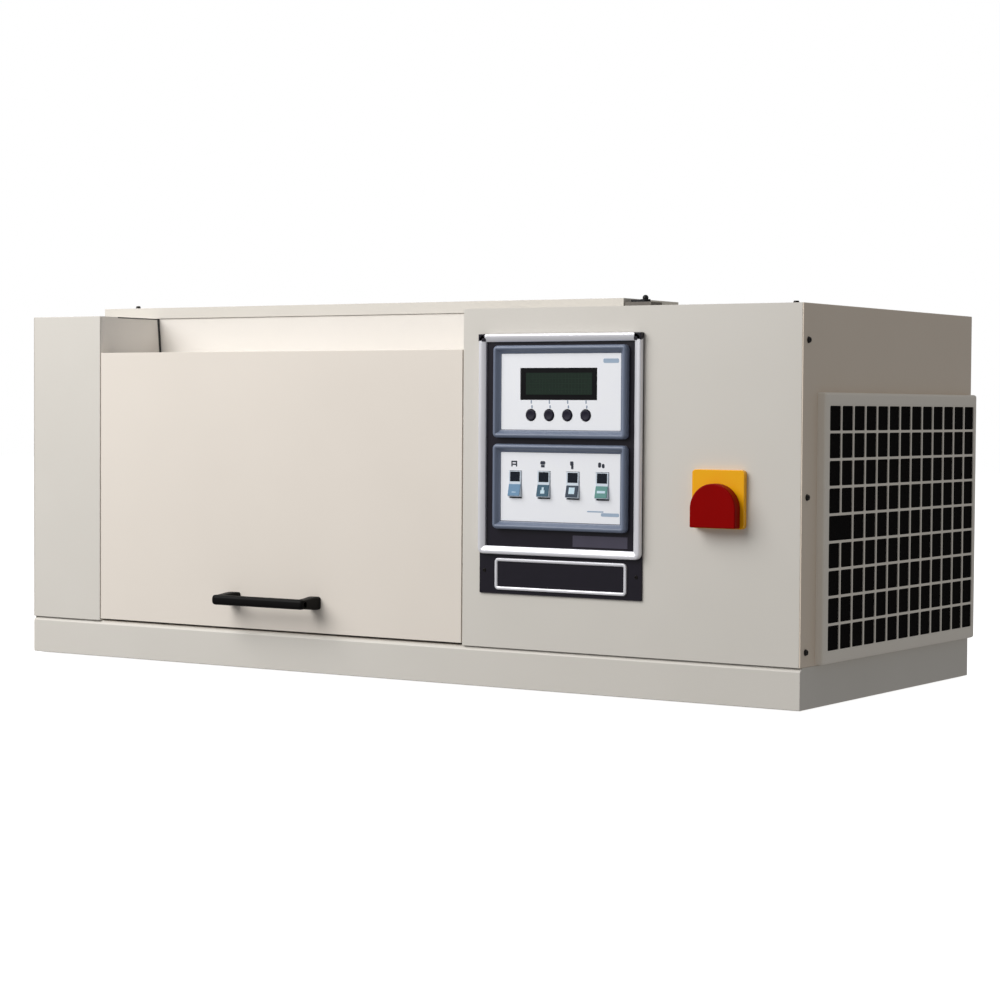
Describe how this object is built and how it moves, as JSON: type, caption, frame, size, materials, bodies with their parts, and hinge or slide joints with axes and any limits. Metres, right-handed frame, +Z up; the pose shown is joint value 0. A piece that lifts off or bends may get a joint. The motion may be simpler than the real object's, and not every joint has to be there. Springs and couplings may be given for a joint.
{
  "type": "bench-top light exposure test chamber",
  "caption": "Long sheet-steel bench cabinet with an upward flap door over a lamp-lit test chamber, a control panel, a rotary isolator and a side air grille.",
  "frame": {"origin": "on the ground under the middle of the cabinet, at the face of the centre foot", "axes": "+X to the right along the front, +Y to the back, +Z up"},
  "size_m": [1.052, 0.478, 0.427],
  "materials": {
    "cabinet_paint": "fine orange-peel powder coat, satin",
    "door_paint": "fine orange-peel powder coat, satin",
    "recess_paint": "fine orange-peel powder coat, satin",
    "grille_paint": "powder coat, satin",
    "stainless": "brushed stainless sheet",
    "polished_reflector": "polished anodised aluminium",
    "zinc_steel": "bright zinc plating",
    "dark_screw": "black oxide",
    "rubber": "moulded black rubber",
    "seal_rubber": "silicone profile",
    "filter_foam": "open-cell foam",
    "quartz_glass": "clear filter glass",
    "lamp_quartz": "quartz tube with metal caps",
    "ceramic": "unglazed steatite",
    "black_enamel": "matt black enamel",
    "blower_steel": "grey enamel",
    "motor_casting": "cast aluminium",
    "black_plastic": "moulded nylon",
    "lamination_steel": "varnished laminations and windings",
    "switchgear_plastic": "moulded switchgear",
    "supply_case": "perforated case",
    "circuit_board": "solder-masked glass fibre",
    "panel_black": "satin black",
    "frame_silver": "satin anodised",
    "bezel_grey": "moulded blue-grey",
    "fascia_white": "printed polyester film",
    "display_green": "dark display window",
    "isolator_yellow": "moulded yellow",
    "isolator_red": "moulded red",
    "key_black": "moulded key",
    "rocker_blue": "moulded rocker with a lens",
    "handle_black": "glass-filled nylon",
    "latch_grey": "zinc die casting"
  },
  "bodies": {
    "cabinet": {"base_plinth": "cabinet_paint", "rubber_feet": "rubber", "left_side_panel": "cabinet_paint", "right_side_panel": "cabinet_paint", "rear_panel": "cabinet_paint", "front_left_panel": "cabinet_paint", "front_right_panel": "cabinet_paint", "top_panel": "cabinet_paint", "top_recess": "recess_paint", "chamber_front_frame": "cabinet_paint", "chamber_liner": "stainless", "bay_partition": "cabinet_paint", "side_grille": "grille_paint", "grille_filter_pad": "filter_foam", "cabinet_screws": "dark_screw", "filter_glass": "quartz_glass", "lamp_reflector": "polished_reflector", "xenon_lamp": "lamp_quartz", "lamp_holders": "ceramic", "tray_runners": "stainless", "chamber_sensors": "black_enamel", "blower_housing": "blower_steel", "blower_motor": "motor_casting", "fan_frame": "black_plastic", "lamp_control_gear": "lamination_steel", "switchgear": "switchgear_plastic", "power_supply": "supply_case", "control_board": "circuit_board", "control_panel_plate": "panel_black", "panel_frame": "frame_silver", "frame_corners": "black_plastic", "instrument_bezels": "bezel_grey", "instrument_fascias": "fascia_white", "display_module": "display_green", "rocker_sockets": "black_plastic", "nameplate_rim": "frame_silver", "isolator_plate": "isolator_yellow", "isolator_switch": "black_plastic", "cable_gland": "black_plastic", "cover_hinges": "zinc_steel", "cover_latch_block": "latch_grey"},
    "door": {"door_shell": "door_paint", "door_inner_panel": "cabinet_paint", "door_seal": "seal_rubber", "door_handle": "handle_black", "door_hinge_pins": "zinc_steel"},
    "lamp_cover": {"lamp_cover": "cabinet_paint"},
    "cover_latch": {"cover_latch": "black_plastic"},
    "isolator_knob": {"isolator_knob": "isolator_red"},
    "specimen_tray": {"specimen_tray": "stainless"},
    "blower_wheel": {"blower_wheel": "black_plastic"},
    "fan_rotor": {"fan_rotor": "black_plastic"},
    "key_1": {"key_1": "key_black"},
    "key_2": {"key_2": "key_black"},
    "key_3": {"key_3": "key_black"},
    "key_4": {"key_4": "key_black"},
    "rocker_1": {"rocker_1": "rocker_blue"},
    "rocker_2": {"rocker_2": "rocker_blue"},
    "rocker_3": {"rocker_3": "rocker_blue"},
    "rocker_4": {"rocker_4": "rocker_blue"}
  },
  "joints": [
    {"name": "door_hinge", "type": "hinge", "parent": "cabinet", "child": "door", "pos_m": [-0.15, -0.2035, 0.357], "axis": [-1, 0, 0], "range_deg": [0, 100]},
    {"name": "cover_hinge", "type": "hinge", "parent": "cabinet", "child": "lamp_cover", "pos_m": [-0.121, 0.019, 0.4145], "axis": [-1, 0, 0], "range_deg": [0, 105]},
    {"name": "cover_latch_turn", "type": "hinge", "parent": "cabinet", "child": "cover_latch", "pos_m": [0.271, -0.094, 0.415], "axis": [0, 0, 1], "range_deg": [0, 90]},
    {"name": "isolator_turn", "type": "hinge", "parent": "cabinet", "child": "isolator_knob", "pos_m": [0.42925, -0.2225, 0.212], "axis": [0, 1, 0], "range_deg": [0, 90]},
    {"name": "key_1_press", "type": "slide", "parent": "cabinet", "child": "key_1", "axis": [0, 1, 0], "range_m": [0, 0.0008], "stiffness_N_per_m": 600},
    {"name": "key_2_press", "type": "slide", "parent": "cabinet", "child": "key_2", "axis": [0, 1, 0], "range_m": [0, 0.0008], "stiffness_N_per_m": 600},
    {"name": "key_3_press", "type": "slide", "parent": "cabinet", "child": "key_3", "axis": [0, 1, 0], "range_m": [0, 0.0008], "stiffness_N_per_m": 600},
    {"name": "key_4_press", "type": "slide", "parent": "cabinet", "child": "key_4", "axis": [0, 1, 0], "range_m": [0, 0.0008], "stiffness_N_per_m": 600},
    {"name": "rocker_1_tilt", "type": "hinge", "parent": "cabinet", "child": "rocker_1", "pos_m": [0.18335, -0.2125, 0.22182], "axis": [1, 0, 0], "range_deg": [0, 14]},
    {"name": "rocker_2_tilt", "type": "hinge", "parent": "cabinet", "child": "rocker_2", "pos_m": [0.21945, -0.2125, 0.22182], "axis": [1, 0, 0], "range_deg": [0, 14]},
    {"name": "rocker_3_tilt", "type": "hinge", "parent": "cabinet", "child": "rocker_3", "pos_m": [0.25555, -0.2125, 0.22182], "axis": [1, 0, 0], "range_deg": [0, 14]},
    {"name": "rocker_4_tilt", "type": "hinge", "parent": "cabinet", "child": "rocker_4", "pos_m": [0.29165, -0.2125, 0.22182], "axis": [1, 0, 0], "range_deg": [0, 14]},
    {"name": "tray_slide", "type": "slide", "parent": "cabinet", "child": "specimen_tray", "axis": [0, -1, 0], "range_m": [0, 0.06]},
    {"name": "blower_spin", "type": "hinge", "parent": "cabinet", "child": "blower_wheel", "pos_m": [-0.424, 0.0159, 0.166], "axis": [1, 0, 0], "continuous": true},
    {"name": "fan_spin", "type": "hinge", "parent": "cabinet", "child": "fan_rotor", "pos_m": [0.489, 0.014, 0.1835], "axis": [1, 0, 0], "continuous": true}
  ]
}
